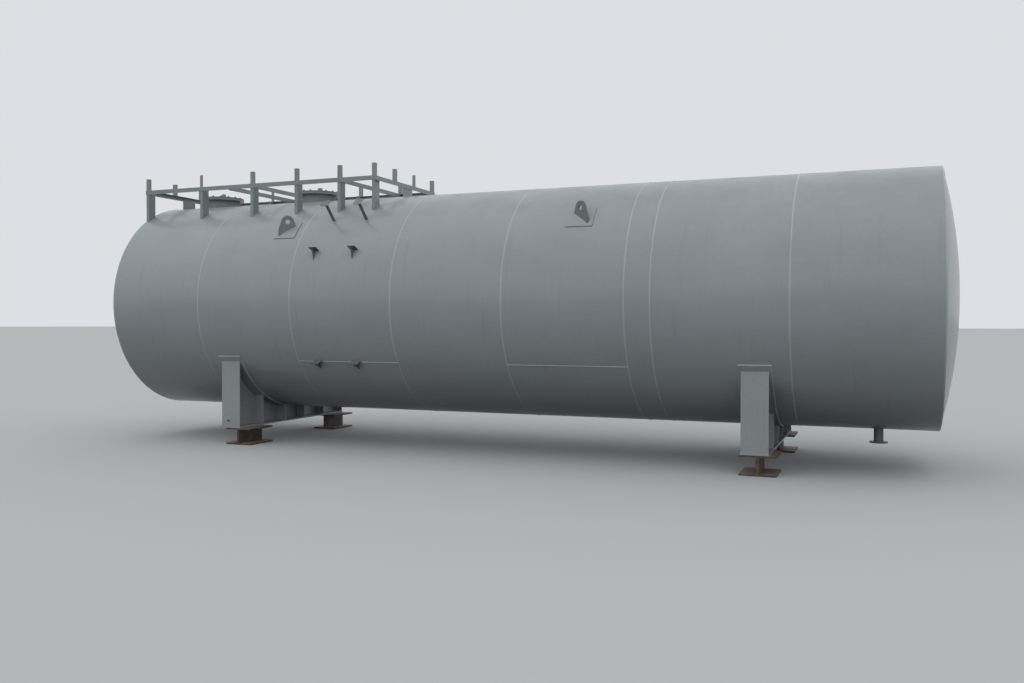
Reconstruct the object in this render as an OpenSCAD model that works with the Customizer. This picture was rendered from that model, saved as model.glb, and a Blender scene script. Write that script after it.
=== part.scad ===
// Horizontal steel storage vessel with dished ends, on two saddles and four beam stubs.
// Millimetres. X runs along the vessel, -Y is the ladder side, Z is up.
// The origin lies on the ground, under the middle of the vessel.

/* [Shell] */
// Outer radius of the shell
shell_r = 1500; // [1300:10:1700]
// Thickness of the shell plate
shell_t = 10; // [6:1:16]
// Width of one full plate course
course_w = 1500; // [1300:10:1700]
// Width of the narrow closing course
closing_w = 300; // [200:10:500]
// Depth of each dished end
dish_h = 200; // [150:5:300]
// Thickness of the dished ends
dish_t = 12; // [8:1:16]
// Height of the shell's underside above the ground
ground_gap = 449; // [400:1:600]

/* [Saddles] */
// Distance from each end of the shell to the middle of its saddle
saddle_inset = 1880; // [1500:10:2200]
// Width of a saddle along the vessel
saddle_w = 300; // [220:5:380]
// Half length of a saddle, to the outer face of its end plates
saddle_half = 1280; // [1220:5:1320]
// Thickness of the end plates and ribs
saddle_t = 14; // [8:1:20]
// Thickness of the middle web
web_t = 16; // [8:1:24]
// Thickness of the base plate
base_t = 20; // [12:1:30]
// How far the base plate stands out past the plates above it
base_lip = 5; // [0:1:15]
// Distance from the middle to the inner ribs
rib_inner_y = 240; // [180:5:320]
// Distance from the middle to the outer ribs
rib_outer_y = 755; // [600:5:850]
// Thickness of the curved wear pad
pad_t = 12; // [8:1:16]
// How far the wear pad stands out past the saddle on each side
pad_lip = 28; // [10:1:60]
// How far the wear pad runs on past the end plates, along its curve
pad_past = 70; // [20:5:120]
// Height of the earthing boss above the underside of the base plate
earth_h = 96; // [60:1:160]
// Distance of the earthing boss from the middle of the saddle
earth_x = 40; // [0:1:80]
// Radius of the earthing boss
earth_boss_r = 16; // [10:1:25]
// Length of the earthing boss
earth_boss_l = 8; // [5:1:15]
// Radius of its stud
earth_stud_r = 5; // [3:0.5:8]
// Length of its stud
earth_stud_l = 18; // [10:1:30]

/* [Support beams] */
// Height of a beam stub
beam_h = 227; // [180:1:260]
// Flange width of a beam stub
beam_w = 400; // [300:5:450]
// Length of a beam stub
beam_l = 500; // [300:10:600]
// Flange thickness of a beam stub
beam_flange_t = 22; // [12:1:30]
// Web thickness of a beam stub
beam_web_t = 36; // [12:1:44]
// How far a beam stub's outer end stands out past the saddle
beam_out = 20; // [0:1:60]
// Shift of the left stubs from the middle of their saddle
beam_shift_left = 135; // [0:5:150]
// Shift of the right stubs from the middle of their saddle
beam_shift_right = 35; // [0:5:150]

/* [Lifting lugs] */
// Distance from the left end of the shell to the left lugs
lug_left = 2735; // [2600:5:2900]
// Distance from the left end of the shell to the right lugs
lug_right = 6885; // [6700:5:7100]
// Angle of the lugs, measured from the crown
lug_angle = 49.6; // [46:0.2:53]
// Turn of each lug towards the common hook, in plan
lug_turn = 30; // [20:1:40]
// Width of a lug at its foot
lug_foot_w = 250; // [220:5:280]
// Thickness of a lug
lug_t = 20; // [12:1:28]
// Radius of a lug's rounded top
lug_top_r = 85; // [70:1:100]
// Radius of the shackle hole
lug_hole_r = 32; // [20:1:45]
// Height of the shackle hole above the pad
lug_hole_h = 108; // [90:1:130]
// Length of a lug pad along the vessel
lug_pad_w = 330; // [300:5:380]
// Half height of a lug pad, as an angle
lug_pad_half = 5.6; // [5.2:0.1:6.4]
// Thickness of a lug pad
lug_pad_t = 10; // [6:1:16]

/* [Ladder fixings] */
// Distance from the left end of the shell to the right-hand fixings
ladder_right = 3895; // [3800:5:4000]
// Spacing of the top arms
arm_gap = 500; // [400:5:600]
// Spacing of the middle and bottom cleats
cleat_gap = 585; // [500:5:620]
// Angle of the top arms from the crown
arm_angle = 43.7; // [40:0.1:47]
// Angle of the middle cleats from the crown
cleat_mid_angle = 63.6; // [60:0.1:67]
// Angle of the bottom cleats from the crown
cleat_low_angle = 120.6; // [117:0.1:124]
// Length of a top arm
arm_l = 290; // [200:5:350]
// Width of the angle bar of a top arm
arm_w = 45; // [30:1:60]
// Thickness of the fixings' plate
cleat_t = 6; // [4:1:10]
// Side of the square plates on the arms and cleats
cleat_w = 115; // [90:1:130]
// Height of a cleat above the shell
cleat_h = 95; // [70:1:120]
// Depth of the pointed gusset of a cleat
gusset_l = 130; // [80:5:150]

/* [Platform frame] */
// Length of the frame
frame_l = 3930; // [3800:5:4100]
// Half width of the frame
frame_half = 870; // [820:5:920]
// Height of the top of the frame above the crown
frame_rise = 190; // [170:1:240]
// Height of the edge beams
edge_h = 60; // [50:1:80]
// Width of the edge beams' top flange
edge_w = 60; // [55:1:80]
// Thickness of the edge beams
edge_t = 6; // [5:1:10]
// Height of the post stubs
post_h = 170; // [120:5:220]
// Leg width of the post stubs
post_w = 50; // [40:1:55]
// Thickness of the post stubs
post_t = 5; // [4:1:8]
// First bay between the legs, from the left
bay_1 = 1000; // [900:10:1050]
// Second bay
bay_2 = 890; // [800:10:950]
// Third bay
bay_3 = 745; // [700:10:850]
// Fourth bay
bay_4 = 695; // [600:10:800]
// Width of a leg's front flange
leg_w = 50; // [40:1:60]
// Thickness of the legs
leg_t = 6; // [5:1:10]
// Depth of a leg's web
leg_web = 150; // [100:5:200]
// Width of the two middle legs on the crown
crown_leg_w = 264; // [200:2:320]
// Thickness of the middle legs
crown_leg_t = 8; // [6:1:12]
// Shift of the middle legs to the rear
crown_leg_y = 40; // [0:5:80]
// Distance from the left end of the frame to the free joist between the manholes
free_joist = 1470; // [1400:5:1550]

/* [Manholes] */
// Distance from the left end of the shell to the first manhole
manhole_1 = 700; // [600:5:780]
// Distance from the left end of the shell to the second manhole
manhole_2 = 2450; // [2380:5:2500]
// Inner radius of a manhole neck
neck_r = 250; // [200:5:280]
// Wall of a manhole neck
neck_t = 10; // [6:1:14]
// Height of the neck above the crown, to the top of its flange
neck_h = 120; // [90:5:140]
// Outer radius of the neck's flange
neck_flange_r = 320; // [300:5:340]
// Thickness of the neck's flange
neck_flange_t = 22; // [14:1:28]
// Thickness of the cover
cover_t = 20; // [12:1:24]

/* [Drain] */
// Distance from the right end of the shell to the drain
drain_inset = 630; // [400:10:800]
// Outer radius of the drain pipe
drain_r = 54; // [40:1:60]
// Wall of the drain pipe
drain_wall = 4; // [3:1:8]
// Depth of the flange's lower face below the shell
drain_drop = 170; // [140:5:220]
// Outer radius of the drain flange
drain_flange_r = 102.5; // [95:0.5:110]
// Thickness of the drain flange
drain_flange_t = 16; // [10:1:24]
// Radius of the bolt circle of the drain flange
drain_bolt_circle = 85; // [78:0.5:90]
// Radius of the bolt holes of the drain flange
drain_bolt_r = 9; // [7:0.5:10]
// Number of bolt holes of the drain flange
drain_bolts = 4; // [4,8]

/* [Hidden] */
$fn = 96;
// Segments on curves as large as the shell
shell_fn = 720;
// Short conical bands that make up a dished end
dish_steps = 24;
// Clearance between curved faces that are welded on the real vessel
seat = 0.3;
courses = 8;
closing_no = 6;
shell_l = (courses - 1) * course_w + closing_w;
left_end = -shell_l / 2;
axis_z = ground_gap + shell_r;
crown_z = axis_z + shell_r;
inner_r = shell_r - shell_t;
dish_r = (shell_r * shell_r + dish_h * dish_h) / (2 * dish_h);
// Radius that the saddle plates are cut to
pad_in_r = shell_r + seat;
pad_out_r = pad_in_r + pad_t;
saddle_cut_r = pad_out_r + seat;
// Half angle of the wear pad, measured from the bottom
pad_angle = asin(saddle_half / pad_out_r) + pad_past / pad_out_r * 180 / PI;
base_top = beam_h + base_t;
left_saddle_x = left_end + saddle_inset;
right_saddle_x = -left_saddle_x;
// Angles measured from the bottom of the shell, positive towards +Y
lug_from_bottom = 180 - lug_angle;
lug_pad_out_r = shell_r + seat + lug_pad_t;
frame_top = crown_z + frame_rise;
frame_left = left_end;
frame_right = left_end + frame_l;
under_flange = frame_top - edge_t;
leg_first = frame_left + edge_t + leg_w / 2;
leg_last = frame_right - edge_t - leg_w / 2;
leg_xs = [
    leg_first,
    leg_first + bay_1,
    leg_first + bay_1 + bay_2,
    leg_first + bay_1 + bay_2 + bay_3,
    leg_first + bay_1 + bay_2 + bay_3 + bay_4,
    leg_last
];
joist_xs = [frame_left + free_joist, leg_xs[2], leg_xs[4]];
// Which post stubs have their corner on the left
front_post_turned = [false, true, false, false, false, false];
end_post_y = frame_half / 3;
manhole_xs = [left_end + manhole_1, left_end + manhole_2];
drain_pos = -left_end - drain_inset;
paint = "#9aa3a4";
paint_dark = "#7c8586";
rust = "#5b4334";

// A round bar or hole along X, centred on the vessel's axis
module along_axis(x, length, r) {
    translate([x, 0, axis_z])
        rotate([0, 90, 0])
            cylinder(h = length, r = r, $fn = shell_fn);
}

// What is cut away so that a piece sits on the outside of a curved surface
module shell_cut(r) {
    along_axis(left_end - dish_h, shell_l + 2 * dish_h, r);
}

// A plate rolled to the shell: angles from the bottom, positive towards +Y
module rolled_plate(x, w, from, to, r, t) {
    translate([x, 0, axis_z])
        rotate([0, 90, 0])
            rotate([0, 0, from])
                rotate_extrude(angle = to - from, $fn = shell_fn)
                    translate([r, -w / 2])
                        square([t, w]);
}

// Puts a piece that is drawn upright, with its foot at z = 0, on the shell
module on_shell(x, from_crown, r) {
    translate([x, 0, axis_z])
        rotate([from_crown, 0, 0])
            translate([0, 0, r])
                children();
}

// Left edge of one plate course
function course_left(i) =
    left_end + (i - 1) * course_w - (i > closing_no ? course_w - closing_w : 0);

module manhole_bores() {
    for (x = manhole_xs)
        translate([x, 0, axis_z])
            cylinder(h = 2 * shell_r, r = neck_r);
}

module drain_bore() {
    translate([drain_pos, 0, axis_z - 2 * shell_r])
        cylinder(h = 2 * shell_r, r = drain_r - drain_wall);
}

module course(i) {
    w = i == closing_no ? closing_w : course_w;
    color(paint)
        difference() {
            along_axis(course_left(i), w, shell_r);
            along_axis(course_left(i) - 1, w + 2, inner_r);
            manhole_bores();
            drain_bore();
        }
}

// Point of the dish's section on a sphere of radius r, at an angle from the middle
function dish_point(r, a) = [r * sin(a), dish_h - dish_r + r * cos(a)];

// Spherical cap, as a shell, that bulges towards +X
module dish() {
    outer_rim = asin(shell_r / dish_r);
    inner_rim = acos((dish_r - dish_h) / (dish_r - dish_t));
    outer = [for (i = [0:dish_steps]) dish_point(dish_r, outer_rim * i / dish_steps)];
    inner = [for (i = [dish_steps:-1:0]) dish_point(dish_r - dish_t, inner_rim * i / dish_steps)];
    rotate([0, 90, 0])
        rotate_extrude($fn = shell_fn)
            polygon(concat(outer, inner));
}

module end_dish(side) {
    color(paint)
        translate([side * shell_l / 2, 0, axis_z])
            mirror([side < 0 ? 1 : 0, 0, 0])
                dish();
}

module saddle_pad(x) {
    color(paint)
        rolled_plate(x, saddle_w + 2 * pad_lip, -pad_angle, pad_angle, pad_in_r, pad_t);
}

module saddle_web(x) {
    half = saddle_half - saddle_t;
    color(paint)
        difference() {
            translate([x - web_t / 2, -half, base_top])
                cube([web_t, 2 * half, saddle_height(half)]);
            shell_cut(saddle_cut_r);
        }
}

// Height of a saddle plate above the base plate where its far face is at y
function saddle_height(y) =
    axis_z - sqrt(saddle_cut_r * saddle_cut_r - y * y) - base_top;

// side is -1 for the front plate and 1 for the rear plate
module saddle_end_plate(x, side) {
    color(paint)
        difference() {
            translate([x - saddle_w / 2, side * (saddle_half - saddle_t / 2) - saddle_t / 2, base_top])
                cube([saddle_w, saddle_t, saddle_height(saddle_half)]);
            shell_cut(saddle_cut_r);
        }
}

module saddle_ribs(x) {
    rib_w = (saddle_w - web_t) / 2;
    color(paint)
        for (y = [-rib_outer_y, -rib_inner_y, rib_inner_y, rib_outer_y], side = [-1, 1])
            difference() {
                translate([
                    x + side * (web_t + rib_w) / 2 - rib_w / 2,
                    y - saddle_t / 2,
                    base_top
                ])
                    cube([rib_w, saddle_t, saddle_height(abs(y) + saddle_t / 2)]);
                shell_cut(saddle_cut_r);
            }
}

module saddle_base(x) {
    color(paint)
        translate([x - saddle_w / 2 - base_lip, -saddle_half - base_lip, beam_h])
            cube([saddle_w + 2 * base_lip, 2 * (saddle_half + base_lip), base_t]);
}

// Short H-section beam under one end of a saddle, lying along Y
module beam_stub(x, side) {
    outer = saddle_half + beam_out;
    color(rust)
        translate([x, side > 0 ? outer : beam_l - outer, 0])
            rotate([90, 0, 0])
                linear_extrude(beam_l)
                    union() {
                        translate([-beam_w / 2, 0])
                            square([beam_w, beam_flange_t]);
                        translate([-beam_web_t / 2, 0])
                            square([beam_web_t, beam_h]);
                        translate([-beam_w / 2, beam_h - beam_flange_t])
                            square([beam_w, beam_flange_t]);
                    }
}

module lug_pad(x, side) {
    middle = side * lug_from_bottom;
    rolled_plate(x, lug_pad_w, middle - lug_pad_half, middle + lug_pad_half,
        shell_r + seat, lug_pad_t);
}

module lug_pads() {
    color(paint)
        for (x = [left_end + lug_left, left_end + lug_right], side = [-1, 1])
            lug_pad(x, side);
}

// Upright outline of a lug: round top and flared foot, with the foot at height 0
module lug_outline() {
    foot = lug_foot_w / 2;
    reach = norm([foot, lug_hole_h]);
    touch = atan2(-lug_hole_h, foot) + acos(lug_top_r / reach);
    touch_x = lug_top_r * cos(touch);
    touch_y = lug_hole_h + lug_top_r * sin(touch);
    difference() {
        union() {
            translate([0, lug_hole_h])
                circle(r = lug_top_r);
            polygon([
                [-foot, -foot],
                [foot, -foot],
                [foot, 0],
                [touch_x, touch_y],
                [-touch_x, touch_y],
                [-foot, 0]
            ]);
        }
        translate([0, lug_hole_h])
            circle(r = lug_hole_r);
    }
}

// side is -1 at the front; turn points the lug's plane at the common hook
module lug(x, side, turn) {
    foot_y = side * lug_pad_out_r * sin(lug_angle);
    foot_z = axis_z + lug_pad_out_r * cos(lug_angle);
    color(paint_dark)
        difference() {
            translate([x, foot_y, foot_z])
                rotate([0, 0, turn])
                    rotate([90, 0, 0])
                        translate([0, 0, -lug_t / 2])
                            linear_extrude(lug_t)
                                lug_outline();
            shell_cut(lug_pad_out_r + seat);
        }
}

// Radial arm with a square end plate; the bar is an angle section
module ladder_arm(x) {
    color(paint_dark)
        difference() {
            on_shell(x, arm_angle, shell_r)
                union() {
                    translate([-arm_w / 2, -cleat_t / 2, -arm_w])
                        cube([arm_w, cleat_t, arm_l + arm_w]);
                    translate([-arm_w / 2, -cleat_t / 2, -arm_w])
                        cube([cleat_t, arm_w, arm_l + arm_w]);
                    translate([-cleat_w / 2, -cleat_w / 2, arm_l])
                        cube([cleat_w, cleat_w, cleat_t]);
                }
            shell_cut(shell_r + seat);
        }
}

// Square plate along the shell on a pointed gusset that tapers downwards
module ladder_cleat(x, from_crown) {
    color(paint_dark)
        difference() {
            on_shell(x, from_crown, shell_r)
                union() {
                    translate([-cleat_w / 2, -cleat_t / 2, -cleat_w])
                        cube([cleat_w, cleat_t, cleat_h + cleat_w]);
                    translate([-cleat_t / 2, -cleat_t / 2, 0])
                        rotate([90, 0, 90])
                            linear_extrude(cleat_t)
                                polygon([
                                    [0, -cleat_w],
                                    [0, cleat_h],
                                    [-gusset_l, 0],
                                    [-gusset_l, -cleat_w]
                                ]);
                }
            shell_cut(shell_r + seat);
        }
}

module ladder_top_arms() {
    for (x = [ladder_right - arm_gap, ladder_right])
        ladder_arm(left_end + x);
}

module ladder_cleats(from_crown) {
    for (x = [ladder_right - cleat_gap, ladder_right])
        ladder_cleat(left_end + x, from_crown);
}

// Long edge beam of the platform: an angle with its corner at the top outside
module long_beam(side) {
    web_y = side * (frame_half - edge_t / 2) - edge_t / 2;
    flange_y = side * (frame_half - edge_w / 2) - edge_w / 2;
    color(paint)
        union() {
            translate([frame_left, web_y, frame_top - edge_h])
                cube([frame_l, edge_t, edge_h]);
            translate([frame_left, flange_y, under_flange])
                cube([frame_l, edge_w, edge_t]);
        }
}

// End beam between the long ones; its web runs on under their flanges
module end_beam(x, side) {
    web_half = frame_half - edge_t;
    flange_half = frame_half - edge_w;
    web_x = side < 0 ? x : x - edge_t;
    flange_x = side < 0 ? x : x - edge_w;
    color(paint)
        union() {
            translate([web_x, -web_half, frame_top - edge_h])
                cube([edge_t, 2 * web_half, edge_h - edge_t]);
            translate([flange_x, -flange_half, under_flange])
                cube([edge_w, 2 * flange_half, edge_t]);
        }
}

module joists() {
    half = frame_half - edge_w;
    color(paint_dark)
        for (x = joist_xs)
            union() {
                translate([x + leg_t / 2, -half, frame_top - edge_h])
                    cube([edge_t, 2 * half, edge_h]);
                translate([x + leg_t / 2 + edge_t - edge_w, -half, under_flange])
                    cube([edge_w, 2 * half, edge_t]);
            }
}

// Tee-shaped leg from the shell to the underside of the frame
module leg(x, side) {
    outer = frame_half - edge_t;
    drop = under_flange - axis_z;
    color(paint)
        difference() {
            union() {
                translate([x - leg_w / 2, side * (outer - leg_t / 2) - leg_t / 2, axis_z])
                    cube([leg_w, leg_t, drop]);
                translate([x - leg_t / 2, side * (outer - leg_web / 2) - leg_web / 2, axis_z])
                    cube([leg_t, leg_web, drop]);
            }
            shell_cut(shell_r + seat);
        }
}

module legs(side) {
    for (x = leg_xs)
        leg(x, side);
}

module crown_leg(x) {
    color(paint)
        difference() {
            translate([x, crown_leg_y - crown_leg_w / 2, axis_z])
                cube([crown_leg_t, crown_leg_w, under_flange - axis_z]);
            shell_cut(shell_r + seat);
        }
}

module crown_legs() {
    crown_leg(frame_left + edge_t);
    crown_leg(frame_right - edge_t - crown_leg_t);
}

// Angle-section stub; its corner is at the front right, or at the front left when turned
module post(x, y, turned) {
    corner_x = turned ? x - post_w / 2 : x + post_w / 2 - post_t;
    translate([x - post_w / 2, y - post_w / 2, frame_top])
        cube([post_w, post_t, post_h]);
    translate([corner_x, y - post_w / 2, frame_top])
        cube([post_t, post_w, post_h]);
}

module posts(side) {
    y = side * (frame_half - edge_t - post_w / 2);
    color(paint)
        for (i = [0:5])
            union()
                post(leg_xs[i], y, front_post_turned[i]);
}

module end_posts() {
    color(paint)
        for (x = [leg_first, leg_last], side = [-1, 1])
            union()
                post(x, side * end_post_y, side > 0);
}

module manhole_neck(x) {
    top = crown_z + neck_h;
    color(paint)
        difference() {
            translate([x, 0, axis_z])
                union() {
                    cylinder(h = shell_r + neck_h, r = neck_r + neck_t);
                    translate([0, 0, shell_r + neck_h - neck_flange_t])
                        cylinder(h = neck_flange_t, r = neck_flange_r);
                }
            translate([x, 0, axis_z - 1])
                cylinder(h = top - axis_z + 2, r = neck_r);
            shell_cut(shell_r + seat);
        }
}

module manhole_cover(x) {
    color(paint_dark)
        translate([x, 0, crown_z + neck_h])
            cylinder(h = cover_t, r = neck_flange_r);
}

module drain_nozzle() {
    face = ground_gap - drain_drop;
    color(paint_dark)
        difference() {
            translate([drain_pos, 0, face])
                union() {
                    cylinder(h = drain_drop + shell_t, r = drain_r);
                    cylinder(h = drain_flange_t, r = drain_flange_r);
                }
            translate([drain_pos, 0, face - 1])
                cylinder(h = drain_drop + shell_t + 2, r = drain_r - drain_wall);
            for (i = [0:drain_bolts - 1])
                translate([drain_pos, 0, face - 1])
                    rotate([0, 0, (i + 0.5) * 360 / drain_bolts])
                        translate([drain_bolt_circle, 0, 0])
                            cylinder(h = drain_flange_t + 2, r = drain_bolt_r);
            shell_cut(shell_r + seat);
        }
}

// Boss with a short stud for the earth strap, on the left saddle
module earthing_boss() {
    color("#8a7f72")
        translate([left_saddle_x - earth_x, -saddle_half, beam_h + earth_h])
            rotate([90, 0, 0])
                union() {
                    cylinder(h = earth_boss_l, r = earth_boss_r);
                    cylinder(h = earth_boss_l + earth_stud_l, r = earth_stud_r);
                }
}

course(1);  // shell_course_1
course(2);  // shell_course_2
course(3);  // shell_course_3
course(4);  // shell_course_4
course(5);  // shell_course_5
course(6);  // shell_closing_course
course(7);  // shell_course_7
course(8);  // shell_course_8
end_dish(-1);  // left_end_dish
end_dish(1);  // right_end_dish
saddle_pad(left_saddle_x);  // left_saddle_pad
saddle_web(left_saddle_x);  // left_saddle_web
saddle_end_plate(left_saddle_x, -1);  // left_saddle_front_plate
saddle_end_plate(left_saddle_x, 1);  // left_saddle_rear_plate
saddle_ribs(left_saddle_x);  // left_saddle_ribs
saddle_base(left_saddle_x);  // left_saddle_base
saddle_pad(right_saddle_x);  // right_saddle_pad
saddle_web(right_saddle_x);  // right_saddle_web
saddle_end_plate(right_saddle_x, -1);  // right_saddle_front_plate
saddle_end_plate(right_saddle_x, 1);  // right_saddle_rear_plate
saddle_ribs(right_saddle_x);  // right_saddle_ribs
saddle_base(right_saddle_x);  // right_saddle_base
beam_stub(left_saddle_x + beam_shift_left, -1);  // front_left_beam_stub
beam_stub(right_saddle_x + beam_shift_right, -1);  // front_right_beam_stub
beam_stub(left_saddle_x + beam_shift_left, 1);  // rear_left_beam_stub
beam_stub(right_saddle_x + beam_shift_right, 1);  // rear_right_beam_stub
lug_pads();
lug(left_end + lug_left, -1, lug_turn);  // front_left_lug
lug(left_end + lug_right, -1, -lug_turn);  // front_right_lug
lug(left_end + lug_left, 1, -lug_turn);  // rear_left_lug
lug(left_end + lug_right, 1, lug_turn);  // rear_right_lug
ladder_top_arms();
ladder_cleats(cleat_mid_angle);  // ladder_middle_cleats
ladder_cleats(cleat_low_angle);  // ladder_bottom_cleats
long_beam(-1);  // platform_front_beam
long_beam(1);  // platform_rear_beam
end_beam(frame_left, -1);  // platform_left_beam
end_beam(frame_right, 1);  // platform_right_beam
joists();  // platform_joists
legs(-1);  // platform_front_legs
legs(1);  // platform_rear_legs
crown_legs();  // platform_crown_legs
posts(-1);  // platform_front_posts
posts(1);  // platform_rear_posts
end_posts();  // platform_end_posts
manhole_neck(manhole_xs[0]);  // manhole_1_neck
manhole_cover(manhole_xs[0]);  // manhole_1_cover
manhole_neck(manhole_xs[1]);  // manhole_2_neck
manhole_cover(manhole_xs[1]);  // manhole_2_cover
drain_nozzle();
earthing_boss();
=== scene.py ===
"""The looks of a horizontal steel storage vessel: enamel paint, weld beads, bolts and rusty stubs."""

import math
import random

import bpy
from mathutils import Matrix, Vector


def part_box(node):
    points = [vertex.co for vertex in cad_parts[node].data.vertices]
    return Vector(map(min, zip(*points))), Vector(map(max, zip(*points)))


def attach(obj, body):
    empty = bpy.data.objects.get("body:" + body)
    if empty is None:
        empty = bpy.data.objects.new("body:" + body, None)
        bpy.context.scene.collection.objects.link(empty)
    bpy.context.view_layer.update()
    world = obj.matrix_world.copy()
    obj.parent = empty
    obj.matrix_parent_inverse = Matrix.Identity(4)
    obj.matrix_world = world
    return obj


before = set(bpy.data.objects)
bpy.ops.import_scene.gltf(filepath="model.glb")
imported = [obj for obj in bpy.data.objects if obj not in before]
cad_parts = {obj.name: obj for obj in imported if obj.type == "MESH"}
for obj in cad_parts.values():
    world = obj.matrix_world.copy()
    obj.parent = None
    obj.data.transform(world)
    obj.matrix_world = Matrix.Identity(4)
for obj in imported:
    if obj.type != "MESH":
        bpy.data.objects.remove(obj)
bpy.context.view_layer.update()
random.seed(7)

# Sizes of the vessel, in metres, read off the frame
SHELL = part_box("shell_course_3")
SHELL_R = (SHELL[1].y - SHELL[0].y) / 2
AXIS_Z = (SHELL[0].z + SHELL[1].z) / 2
COURSES = [
    "shell_course_1", "shell_course_2", "shell_course_3", "shell_course_4",
    "shell_course_5", "shell_closing_course", "shell_course_7", "shell_course_8",
]

# Butt welds of the shell; the seams' places are degrees from the crown, towards the ladder side
BEAD_W = 0.018
BEAD_H = 0.0035
BEAD_SIDES = 8
BEAD_SWELL = 0.0006
SWOLLEN_SHARE = 0.35
RING_STEPS = 360
SEAM_LENGTH = 1.5
SEAM_SIDES = 10
SEAM_STEPS = 48
SEAM_SWELL = 0.12
FRONT_SEAM = 121.6
REAR_SEAMS = (-96, -72)
WELD_SMOOTH = 80

# Fillet welds round the saddle pads
FILLET = 0.008
PAD_STEPS = 96

# Bolts on the manhole covers
BOLT_R = 0.0135
BOLT_HEAD = 0.013
CROWN_INSET = 0.0022
CROWN_RISE = 0.0014
WASHER = 0.003
WASHER_R = 1.3 * BOLT_R
WASHER_EDGE = 0.0008
COVER_BOLTS = 16
COVER_BOLT_INSET = 0.03
BOLT_SMOOTH = 30

# Points of one piece nearer than this are the same point
SAME_POINT = 0.00005

# Floor and surroundings, as seen and as they light the vessel
FLOOR_SIZE = 1200
FLOOR_SEEN = (0.48, 0.48, 0.47, 1)
FLOOR_BOUNCE = (0.10, 0.095, 0.085, 1)
SKY_SEEN = (0.72, 0.74, 0.77, 1)
SKY_GLOW = (0.84, 0.88, 0.92, 1)
LAMP_ENERGY = 0.5
LAMP_WIDTH = math.radians(100)
LAMP_TURN = (math.radians(38), 0, math.radians(-20))

# The photograph's camera, as the pinhole that fits it
CAMERA_PLACE = (4.85, -11.578, 1.647)
CAMERA_YAW = math.radians(22.128)
CAMERA_PITCH = math.radians(-1.022)
CAMERA_ROLL = math.radians(-0.083)
LENS = 32.41
SENSOR = 36
FAR_CLIP = 2000


# Helpers for modelling

def deselect():
    bpy.ops.object.select_all(action="DESELECT")


def choose(piece):
    deselect()
    piece.select_set(True)
    bpy.context.view_layer.objects.active = piece


def edit(piece):
    choose(piece)
    bpy.ops.object.mode_set(mode="EDIT")


def leave_edit():
    bpy.ops.object.mode_set(mode="OBJECT")


def pick(piece, test):
    """Selects the points of a mesh that pass a test, and opens it for editing."""
    edit(piece)
    bpy.ops.mesh.select_mode(type="VERT")
    bpy.ops.mesh.select_all(action="DESELECT")
    leave_edit()
    for point in piece.data.vertices:
        point.select = test(point.co)
    edit(piece)


def bake_place(piece):
    """Moves a piece's place, turn and size into its mesh."""
    choose(piece)
    bpy.ops.object.transform_apply(location=True, rotation=True, scale=True)


def face_outwards(piece):
    edit(piece)
    bpy.ops.mesh.select_all(action="SELECT")
    bpy.ops.mesh.remove_doubles(threshold=SAME_POINT)
    bpy.ops.mesh.normals_make_consistent(inside=False)
    leave_edit()


def join(pieces):
    deselect()
    for piece in pieces:
        piece.select_set(True)
    bpy.context.view_layer.objects.active = pieces[0]
    bpy.ops.object.join()
    return bpy.context.object


def twin_at(source, place):
    """A copy of a piece with its own mesh, at a place."""
    twin = source.copy()
    twin.data = source.data.copy()
    bpy.context.collection.objects.link(twin)
    twin.matrix_world = place
    bake_place(twin)
    return twin


def drop(piece):
    bpy.data.objects.remove(piece)


def dress(piece, name, material, angle):
    """Names a finished piece, smooths it, gives it its finish and lets it ride on the vessel."""
    piece.name = name
    piece.data.name = name
    piece.data.materials.clear()
    piece.data.materials.append(material)
    choose(piece)
    bpy.ops.object.shade_smooth_by_angle(angle=math.radians(angle))
    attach(piece, "root")


def round_the_shell(x, from_crown, radius):
    """The place of something that lies along the shell, turned to stand out from it."""
    turn = math.radians(from_crown)
    spot = Vector((x, -radius * math.sin(turn), AXIS_Z + radius * math.cos(turn)))
    return Matrix.Translation(spot) @ Matrix.Rotation(turn, 4, "X")


# Helpers for materials

def link(tree, start, end):
    tree.links.new(start, end)


def new_group(name, inputs, outputs):
    """A node group with named sockets; inputs are (label, kind, value)."""
    group = bpy.data.node_groups.new(name, "ShaderNodeTree")
    for label, kind, value in inputs:
        socket = group.interface.new_socket(label, in_out="INPUT", socket_type=kind)
        if value is not None:
            socket.default_value = value
    for label, kind in outputs:
        group.interface.new_socket(label, in_out="OUTPUT", socket_type=kind)
    return group, group.nodes.new("NodeGroupInput"), group.nodes.new("NodeGroupOutput")


def step(tree, value, low, high, from_value=0.0, to_value=1.0):
    """A smooth step of a value between two limits."""
    made = tree.nodes.new("ShaderNodeMapRange")
    made.interpolation_type = "SMOOTHSTEP"
    made.inputs["From Min"].default_value = low
    made.inputs["From Max"].default_value = high
    made.inputs["To Min"].default_value = from_value
    made.inputs["To Max"].default_value = to_value
    link(tree, value, made.inputs["Value"])
    return made.outputs["Result"]


def mix(tree, factor, a, b):
    """Mixes two colours; either may be a socket or a plain colour."""
    made = tree.nodes.new("ShaderNodeMix")
    made.data_type = "RGBA"
    link(tree, factor, made.inputs["Factor"])
    for value, label in ((a, "A"), (b, "B")):
        socket = next(s for s in made.inputs if s.name == label and s.type == "RGBA")
        if isinstance(value, tuple):
            socket.default_value = value
        else:
            link(tree, value, socket)
    return next(s for s in made.outputs if s.type == "RGBA")


def calc(tree, operation, a, b):
    made = tree.nodes.new("ShaderNodeMath")
    made.operation = operation
    for value, socket in ((a, made.inputs[0]), (b, made.inputs[1])):
        if isinstance(value, (int, float)):
            socket.default_value = value
        else:
            link(tree, value, socket)
    return made.outputs["Value"]


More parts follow.
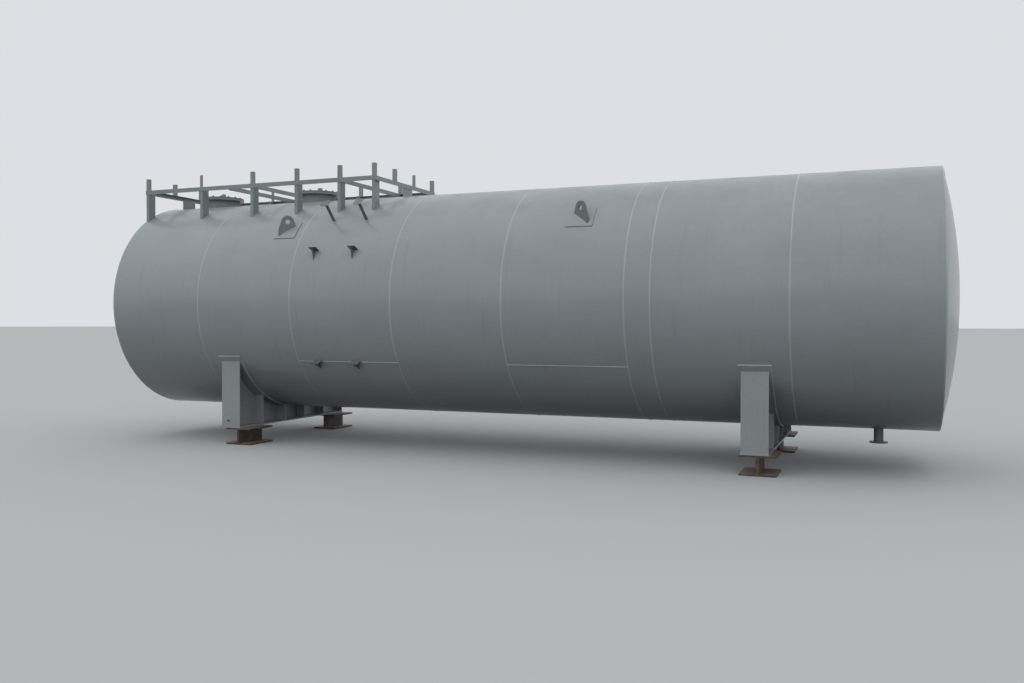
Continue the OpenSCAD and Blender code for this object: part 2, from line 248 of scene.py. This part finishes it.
def noise(tree, vector, scale, detail=4.0, roughness=0.55, distortion=0.0):
    made = tree.nodes.new("ShaderNodeTexNoise")
    made.inputs["Scale"].default_value = scale
    made.inputs["Detail"].default_value = detail
    made.inputs["Roughness"].default_value = roughness
    made.inputs["Distortion"].default_value = distortion
    link(tree, vector, made.inputs["Vector"])
    return made.outputs["Fac"]


def stretched(tree, vector, scale):
    made = tree.nodes.new("ShaderNodeMapping")
    made.inputs["Scale"].default_value = scale
    link(tree, vector, made.inputs["Vector"])
    return made.outputs["Vector"]


def enamel_group():
    """Sprayed enamel: cloudy tone, runs of rain dirt, dust on top faces, orange peel and wavy plate."""
    inputs = [
        ("Vector", "NodeSocketVector", None), ("Up", "NodeSocketFloat", 0.0),
        ("Dust", "NodeSocketFloat", 0.3), ("Runs", "NodeSocketFloat", 0.3),
    ]
    outputs = [("Tone", "NodeSocketFloat"), ("Dirt", "NodeSocketFloat"), ("Height", "NodeSocketFloat")]
    group, start, end = new_group("sprayed_enamel", inputs, outputs)
    place = start.outputs["Vector"]
    clouds = calc(group, "MULTIPLY", noise(group, place, 0.55, 5.0, 0.6, 0.4), 0.6)
    rolled = stretched(group, place, (0.4, 1.0, 1.0))
    patches = calc(group, "MULTIPLY", noise(group, rolled, 2.4, 6.0, 0.62), 0.4)
    link(group, calc(group, "ADD", clouds, patches), end.inputs["Tone"])
    runs = noise(group, stretched(group, place, (9.0, 0.9, 0.5)), 2.0, 5.0, 0.6)
    runs_mask = calc(group, "MULTIPLY", step(group, runs, 0.55, 0.78), start.outputs["Runs"])
    speck = step(group, noise(group, place, 38.0, 3.0, 0.7), 0.5, 0.8)
    settled = step(group, start.outputs["Up"], 0.35, 1.0)
    film = calc(group, "MULTIPLY", settled, step(group, noise(group, place, 3.0, 6.0, 0.65), 0.3, 0.7))
    dust_mask = calc(group, "MULTIPLY", calc(group, "MAXIMUM", speck, film), start.outputs["Dust"])
    link(group, calc(group, "MAXIMUM", runs_mask, dust_mask), end.inputs["Dirt"])
    peel = calc(group, "MULTIPLY", noise(group, place, 260.0, 2.0, 0.5), 0.06)
    plate = stretched(group, place, (1.0, 1.6, 1.6))
    waves = calc(group, "MULTIPLY", noise(group, plate, 2.6, 1.0, 0.4), 0.94)
    link(group, calc(group, "ADD", peel, waves), end.inputs["Height"])
    return group


def rust_group():
    """Rolled steel left outside: grey-brown scale, orange bloom, settled dust, dark pits and their height."""
    inputs = [("Vector", "NodeSocketVector", None), ("Up", "NodeSocketFloat", 0.0)]
    outputs = [("Color", "NodeSocketColor"), ("Bloom", "NodeSocketFloat"), ("Height", "NodeSocketFloat")]
    group, start, end = new_group("weathered_steel", inputs, outputs)
    place = start.outputs["Vector"]
    broad = noise(group, stretched(group, place, (1.0, 1.0, 1.6)), 7.0, 7.0, 0.65, 0.8)
    fine = noise(group, place, 60.0, 5.0, 0.7)
    pits = noise(group, place, 150.0, 3.0, 0.8)
    scale = mix(group, step(group, broad, 0.35, 0.65), (0.040, 0.031, 0.024, 1), (0.105, 0.070, 0.046, 1))
    bloom = step(group, calc(group, "MULTIPLY", broad, fine), 0.27, 0.42)
    rust = mix(group, bloom, scale, (0.27, 0.095, 0.038, 1))
    pitted = mix(group, step(group, pits, 0.60, 0.72), rust, (0.014, 0.012, 0.010, 1))
    dusty = calc(group, "MULTIPLY", step(group, start.outputs["Up"], 0.2, 0.9), step(group, fine, 0.3, 0.6))
    link(group, mix(group, dusty, pitted, (0.24, 0.20, 0.16, 1)), end.inputs["Color"])
    link(group, bloom, end.inputs["Bloom"])
    rough = calc(group, "ADD", calc(group, "MULTIPLY", fine, 0.6), calc(group, "MULTIPLY", pits, 0.4))
    link(group, rough, end.inputs["Height"])
    return group


def new_material(name):
    """A material, its nodes, its shader, the object's own coordinates and how far it faces up."""
    material = bpy.data.materials.new(name)
    material.use_nodes = True
    tree = material.node_tree
    where = tree.nodes.new("ShaderNodeTexCoord")
    split = tree.nodes.new("ShaderNodeSeparateXYZ")
    link(tree, where.outputs["Normal"], split.inputs["Vector"])
    return material, tree, tree.nodes["Principled BSDF"], where.outputs["Object"], split.outputs["Z"]


def placed_group(tree, group, place, up):
    made = tree.nodes.new("ShaderNodeGroup")
    made.node_tree = group
    link(tree, place, made.inputs["Vector"])
    link(tree, up, made.inputs["Up"])
    return made


def bump(tree, shader, height, strength, distance):
    made = tree.nodes.new("ShaderNodeBump")
    made.inputs["Strength"].default_value = strength
    made.inputs["Distance"].default_value = distance
    link(tree, height, made.inputs["Height"])
    link(tree, made.outputs["Normal"], shader.inputs["Normal"])


ENAMEL = enamel_group()
RUST = rust_group()


def enamel(name, light, dark, dirt, roughness, dust, runs, wave):
    """Grey enamel in one shade; light and dark are the two ends of its cloudy tone."""
    material, tree, shader, place, up = new_material(name)
    coat = placed_group(tree, ENAMEL, place, up)
    coat.inputs["Dust"].default_value = dust
    coat.inputs["Runs"].default_value = runs
    tone = mix(tree, step(tree, coat.outputs["Tone"], 0.35, 0.65), dark, light)
    link(tree, mix(tree, coat.outputs["Dirt"], tone, dirt), shader.inputs["Base Color"])
    rough = step(tree, coat.outputs["Dirt"], 0.0, 1.0, roughness, roughness + 0.35)
    link(tree, rough, shader.inputs["Roughness"])
    link(tree, step(tree, coat.outputs["Dirt"], 0.0, 0.5, 0.28, 0.05), shader.inputs["Coat Weight"])
    shader.inputs["Coat Roughness"].default_value = 0.12
    shader.inputs["Specular IOR Level"].default_value = 0.38
    bump(tree, shader, coat.outputs["Height"], 0.3, wave)
    return material


def stub_steel():
    material, tree, shader, place, up = new_material("rusty_beam_steel")
    steel = placed_group(tree, RUST, place, up)
    link(tree, steel.outputs["Color"], shader.inputs["Base Color"])
    link(tree, step(tree, steel.outputs["Bloom"], 0.0, 1.0, 0.65, 0.92), shader.inputs["Roughness"])
    bump(tree, shader, steel.outputs["Height"], 0.8, 0.003)
    return material


def weld_highlight_paint():
    """A lighter enamel over a weld, with the ripples of the bead; the lighter tone is a painted highlight for
    the sky caught on the bead's top.
    """
    material, tree, shader, place, up = new_material("weld_enamel_painted_highlight")
    coat = placed_group(tree, ENAMEL, place, up)
    coat.inputs["Dust"].default_value = 0.15
    coat.inputs["Runs"].default_value = 0.0
    tone = mix(tree, step(tree, coat.outputs["Tone"], 0.35, 0.65), WELD_HIGHLIGHT_DARK, WELD_HIGHLIGHT_LIGHT)
    link(tree, mix(tree, coat.outputs["Dirt"], tone, SHELL_DIRT), shader.inputs["Base Color"])
    ripple = noise(tree, place, 90.0, 2.0, 0.5)
    link(tree, step(tree, ripple, 0.3, 0.7, 0.28, 0.42), shader.inputs["Roughness"])
    shader.inputs["Coat Weight"].default_value = 0.4
    shader.inputs["Coat Roughness"].default_value = 0.15
    bump(tree, shader, ripple, 0.6, 0.002)
    return material


def boss_steel():
    """Dull bare steel with a brown bloom."""
    material, tree, shader, place, up = new_material("bare_boss_steel")
    steel = placed_group(tree, RUST, place, up)
    tone = mix(tree, steel.outputs["Bloom"], (0.20, 0.18, 0.16, 1), (0.16, 0.08, 0.04, 1))
    link(tree, tone, shader.inputs["Base Color"])
    link(tree, step(tree, steel.outputs["Bloom"], 0.0, 1.0, 0.35, 0.8), shader.inputs["Roughness"])
    shader.inputs["Metallic"].default_value = 0.8
    bump(tree, shader, steel.outputs["Height"], 0.4, 0.0006)
    return material


SHELL_LIGHT = (0.300, 0.331, 0.344, 1)
SHELL_DARK = (0.272, 0.300, 0.311, 1)
SHELL_DIRT = (0.190, 0.185, 0.165, 1)
# The weld tones are lighter than the shell's: a painted highlight for the bead's top catching the sky.
WELD_HIGHLIGHT_LIGHT = (0.400, 0.430, 0.440, 1)
WELD_HIGHLIGHT_DARK = (0.350, 0.380, 0.390, 1)

SHELL_PAINT = enamel("shell_enamel", SHELL_LIGHT, SHELL_DARK, SHELL_DIRT, 0.32, 0.30, 0.30, 0.0025)
SADDLE_PAINT = enamel(
    "saddle_enamel", (0.305, 0.327, 0.330, 1), (0.268, 0.288, 0.291, 1), (0.180, 0.165, 0.135, 1),
    0.38, 0.45, 0.35, 0.001)
FRAME_PAINT = enamel(
    "frame_enamel", (0.250, 0.280, 0.286, 1), (0.205, 0.230, 0.235, 1), (0.130, 0.120, 0.100, 1),
    0.40, 0.40, 0.35, 0.001)
# Darker enamel for lugs, covers, ladder, drain nozzle and cover bolts: its darkness is painted shade for
# these parts, and on the lugs also a darker primer.
SHADED_FITTING_PAINT = enamel(
    "fitting_enamel_painted_shade", (0.190, 0.208, 0.212, 1), (0.130, 0.143, 0.146, 1), (0.120, 0.090, 0.065, 1),
    0.42, 0.55, 0.40, 0.001)
# Weld material: the lighter enamel is a painted highlight on the beads.
WELD_HIGHLIGHT_PAINT = weld_highlight_paint()
STUB_STEEL = stub_steel()
BOSS_STEEL = boss_steel()


def finish_for(name):
    """The finish of one of the frame's own nodes."""
    if "stub" in name:
        return STUB_STEEL
    if name == "earthing_boss":
        return BOSS_STEEL
    # These fittings get the darker enamel, which paints their shade into the colour.
    if name.endswith(("_lug", "_cover")) or name.startswith("ladder") or name == "drain_nozzle":
        return SHADED_FITTING_PAINT
    if name.startswith("platform") or name.endswith("_neck"):
        return FRAME_PAINT
    if "saddle" in name:
        return SADDLE_PAINT
    return SHELL_PAINT


for name, cad_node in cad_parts.items():
    cad_node.data.materials.clear()
    cad_node.data.materials.append(finish_for(name))


# Weld beads

def girth_bead():
    """One girth weld round the axis: a ring that swells a little, then flattened on the plate."""
    deselect()
    bpy.ops.mesh.primitive_torus_add(
        major_segments=RING_STEPS, minor_segments=BEAD_SIDES, major_radius=SHELL_R, minor_radius=BEAD_H,
        rotation=(0, math.pi / 2, 0))
    bead = bpy.context.object
    bake_place(bead)
    swollen = {i for i in range(RING_STEPS) if random.random() < SWOLLEN_SHARE}
    turn = 360 / RING_STEPS
    pick(bead, lambda co: round(math.degrees(math.atan2(co.y, co.z)) / turn) % RING_STEPS in swollen)
    bpy.ops.transform.shrink_fatten(value=BEAD_SWELL)
    bpy.ops.mesh.select_all(action="SELECT")
    bpy.ops.transform.resize(value=(BEAD_W / (2 * BEAD_H), 1, 1), center_override=(0, 0, 0))
    leave_edit()
    return bead


def seam_bead():
    """One lengthwise weld, drawn out step by step from a flat oval that swells and narrows."""
    deselect()
    start = (-SEAM_LENGTH / 2, 0, 0)
    bpy.ops.mesh.primitive_circle_add(
        vertices=SEAM_SIDES, radius=1, fill_type="NGON", location=start, rotation=(0, math.pi / 2, 0))
    bead = bpy.context.object
    bake_place(bead)
    edit(bead)
    bpy.ops.mesh.select_all(action="SELECT")
    bpy.ops.transform.resize(value=(1, BEAD_W / 2, BEAD_H), center_override=start)
    girth = 1.0
    stride = SEAM_LENGTH / SEAM_STEPS
    for i in range(SEAM_STEPS):
        bpy.ops.mesh.extrude_region_move(TRANSFORM_OT_translate={"value": (stride, 0, 0)})
        wanted = random.uniform(1 - SEAM_SWELL, 1 + SEAM_SWELL)
        end = (-SEAM_LENGTH / 2 + stride * (i + 1), 0, 0)
        bpy.ops.transform.resize(value=(1, wanted / girth, wanted / girth), center_override=end)
        girth = wanted
    leave_edit()
    face_outwards(bead)
    return bead


def shell_welds():
    """A girth weld at each joint and rim, and one lengthwise weld in each course, staggered."""
    ring = girth_bead()
    joints = [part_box(course)[1].x for course in COURSES[:-1]]
    for count, x in enumerate(joints, 1):
        bead = twin_at(ring, Matrix.Translation((x, 0, AXIS_Z)))
        dress(bead, f"girth_weld_{count}", WELD_HIGHLIGHT_PAINT, WELD_SMOOTH)
    for side, x in (("left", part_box(COURSES[0])[0].x), ("right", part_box(COURSES[-1])[1].x)):
        sunk = 1 - BEAD_H / SHELL_R / 2
        rim = twin_at(ring, Matrix.Translation((x, 0, AXIS_Z)) @ Matrix.Diagonal((1, sunk, sunk, 1)))
        dress(rim, f"{side}_rim_weld", WELD_HIGHLIGHT_PAINT, WELD_SMOOTH)
    drop(ring)
    for count, course in enumerate(COURSES, 1):
        low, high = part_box(course)
        in_front = course in ("shell_course_3", "shell_course_5")
        angle = FRONT_SEAM if in_front else REAR_SEAMS[count % 2]
        place = round_the_shell((low.x + high.x) / 2, angle, SHELL_R)
        fit = Matrix.Diagonal(((high.x - low.x) / SEAM_LENGTH, 1, 1, 1))
        dress(twin_at(SEAM, place @ fit), f"lengthwise_weld_{count}", WELD_HIGHLIGHT_PAINT, WELD_SMOOTH)


def pad_arc(radius, half):
    """A fillet along a pad's curved edge: a small round spun about the axis, centred at the bottom."""
    deselect()
    bpy.ops.mesh.primitive_circle_add(
        vertices=BEAD_SIDES, radius=FILLET, fill_type="NGON", location=(0, 0, -radius),
        rotation=(math.pi / 2, 0, 0))
    arc = bpy.context.object
    bake_place(arc)
    edit(arc)
    bpy.ops.mesh.select_all(action="SELECT")
    bpy.ops.mesh.spin(steps=PAD_STEPS, angle=2 * half, center=(0, 0, 0), axis=(1, 0, 0))
    leave_edit()
    face_outwards(arc)
    lean = sum(point.co.y for point in arc.data.vertices)
    arc.rotation_euler.x = -half if lean > 0 else half
    bake_place(arc)
    return arc


def pad_weld(side):
    """Fillets round all four edges of a saddle's wear plate."""
    low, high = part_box(f"{side}_saddle_pad")
    outer = AXIS_Z - low.z
    half = math.asin(high.y / outer)
    arc = pad_arc(SHELL_R + FILLET / 3, half)
    runs = [twin_at(arc, Matrix.Translation((x, 0, AXIS_Z))) for x in (low.x, high.x)]
    drop(arc)
    past = math.degrees(half + FILLET / 2 / SHELL_R)
    fit = Matrix.Diagonal(((high.x - low.x + FILLET) / SEAM_LENGTH, 2 * FILLET / BEAD_W, FILLET / BEAD_H, 1))
    for angle in (180 - past, 180 + past):
        place = round_the_shell((low.x + high.x) / 2, angle, SHELL_R + FILLET / 3)
        runs.append(twin_at(SEAM, place @ fit))
    dress(join(runs), f"{side}_pad_weld", WELD_HIGHLIGHT_PAINT, WELD_SMOOTH)


SEAM = seam_bead()
shell_welds()
pad_weld("left")
pad_weld("right")
drop(SEAM)


# Bolts

def hex_bolt():
    """A hexagon head with a turned crown on a chamfered washer; its foot is at the origin."""
    deselect()
    bpy.ops.mesh.primitive_cylinder_add(
        vertices=6, radius=BOLT_R, depth=BOLT_HEAD, location=(0, 0, BOLT_HEAD / 2 + WASHER))
    head = bpy.context.object
    bake_place(head)
    pick(head, lambda co: co.z > BOLT_HEAD / 2 + WASHER)
    bpy.ops.mesh.inset(thickness=CROWN_INSET, depth=CROWN_RISE)
    leave_edit()
    deselect()
    bpy.ops.mesh.primitive_cylinder_add(
        vertices=20, radius=WASHER_R, depth=WASHER, location=(0, 0, WASHER / 2))
    washer = bpy.context.object
    bake_place(washer)
    pick(washer, lambda co: co.z > WASHER / 2)
    bpy.ops.mesh.bevel(offset=WASHER_EDGE, segments=1)
    leave_edit()
    return join([head, washer])


def cover_bolts(number):
    """A ring of bolts on one manhole cover, each turned its own way."""
    low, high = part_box(f"manhole_{number}_cover")
    circle = (high.x - low.x) / 2 - COVER_BOLT_INSET
    bolts = []
    for i in range(COVER_BOLTS):
        turn = 2 * math.pi * (i + 0.5) / COVER_BOLTS
        x = (low.x + high.x) / 2 + circle * math.cos(turn)
        y = (low.y + high.y) / 2 + circle * math.sin(turn)
        tightened = Matrix.Rotation(random.uniform(0, math.pi / 3), 4, "Z")
        bolts.append(twin_at(BOLT, Matrix.Translation((x, y, high.z)) @ tightened))
    dress(join(bolts), f"manhole_{number}_bolts", SHADED_FITTING_PAINT, BOLT_SMOOTH)


BOLT = hex_bolt()
cover_bolts(1)
cover_bolts(2)
drop(BOLT)


# Floor, light and camera

def pale_to_the_eye(tree):
    """1 for what the camera, gloss and glass see, and 0 for the light that reaches the vessel."""
    path = tree.nodes.new("ShaderNodeLightPath")
    seen = calc(tree, "MAXIMUM", path.outputs["Is Camera Ray"], path.outputs["Is Glossy Ray"])
    return calc(tree, "MAXIMUM", seen, path.outputs["Is Transmission Ray"])


def studio_floor():
    deselect()
    bpy.ops.mesh.primitive_plane_add(size=FLOOR_SIZE)
    floor = bpy.context.object
    floor.name = "studio_floor"
    material = bpy.data.materials.new("pale_floor")
    material.use_nodes = True
    tree = material.node_tree
    shader = tree.nodes["Principled BSDF"]
    tone = mix(tree, pale_to_the_eye(tree), FLOOR_BOUNCE, FLOOR_SEEN)
    link(tree, tone, shader.inputs["Base Color"])
    shader.inputs["Roughness"].default_value = 1.0
    shader.inputs["Specular IOR Level"].default_value = 0.0
    floor.data.materials.append(material)


def studio_world():
    """Plain pale surroundings, and an even soft light from the whole upper half."""
    world = bpy.data.worlds.new("studio")
    bpy.context.scene.world = world
    world.use_nodes = True
    tree = world.node_tree
    tree.nodes.clear()
    seen = tree.nodes.new("ShaderNodeBackground")
    seen.inputs["Color"].default_value = SKY_SEEN
    glow = tree.nodes.new("ShaderNodeBackground")
    glow.inputs["Color"].default_value = SKY_GLOW
    blend = tree.nodes.new("ShaderNodeMixShader")
    link(tree, pale_to_the_eye(tree), blend.inputs["Fac"])
    link(tree, glow.outputs["Background"], blend.inputs[1])
    link(tree, seen.outputs["Background"], blend.inputs[2])
    link(tree, blend.outputs["Shader"], tree.nodes.new("ShaderNodeOutputWorld").inputs["Surface"])


def soft_lamp():
    """A very wide, weak lamp from above."""
    lamp = bpy.data.lights.new("soft_lamp", "SUN")
    lamp.energy = LAMP_ENERGY
    lamp.angle = LAMP_WIDTH
    made = bpy.data.objects.new("soft_lamp", lamp)
    bpy.context.collection.objects.link(made)
    made.rotation_euler = LAMP_TURN


def photo_camera():
    lens = bpy.data.cameras.new("photo_camera")
    lens.lens = LENS
    lens.sensor_width = SENSOR
    lens.clip_end = FAR_CLIP
    camera = bpy.data.objects.new("photo_camera", lens)
    bpy.context.collection.objects.link(camera)
    turn = Matrix.Rotation(CAMERA_YAW, 4, "Z") @ Matrix.Rotation(CAMERA_PITCH, 4, "X")
    level = Matrix.Rotation(CAMERA_ROLL, 4, "Y") @ Matrix.Rotation(math.pi / 2, 4, "X")
    camera.matrix_world = Matrix.Translation(CAMERA_PLACE) @ turn @ level
    bpy.context.scene.camera = camera


studio_floor()
studio_world()
soft_lamp()
photo_camera()
bpy.context.scene.view_settings.view_transform = "Standard"
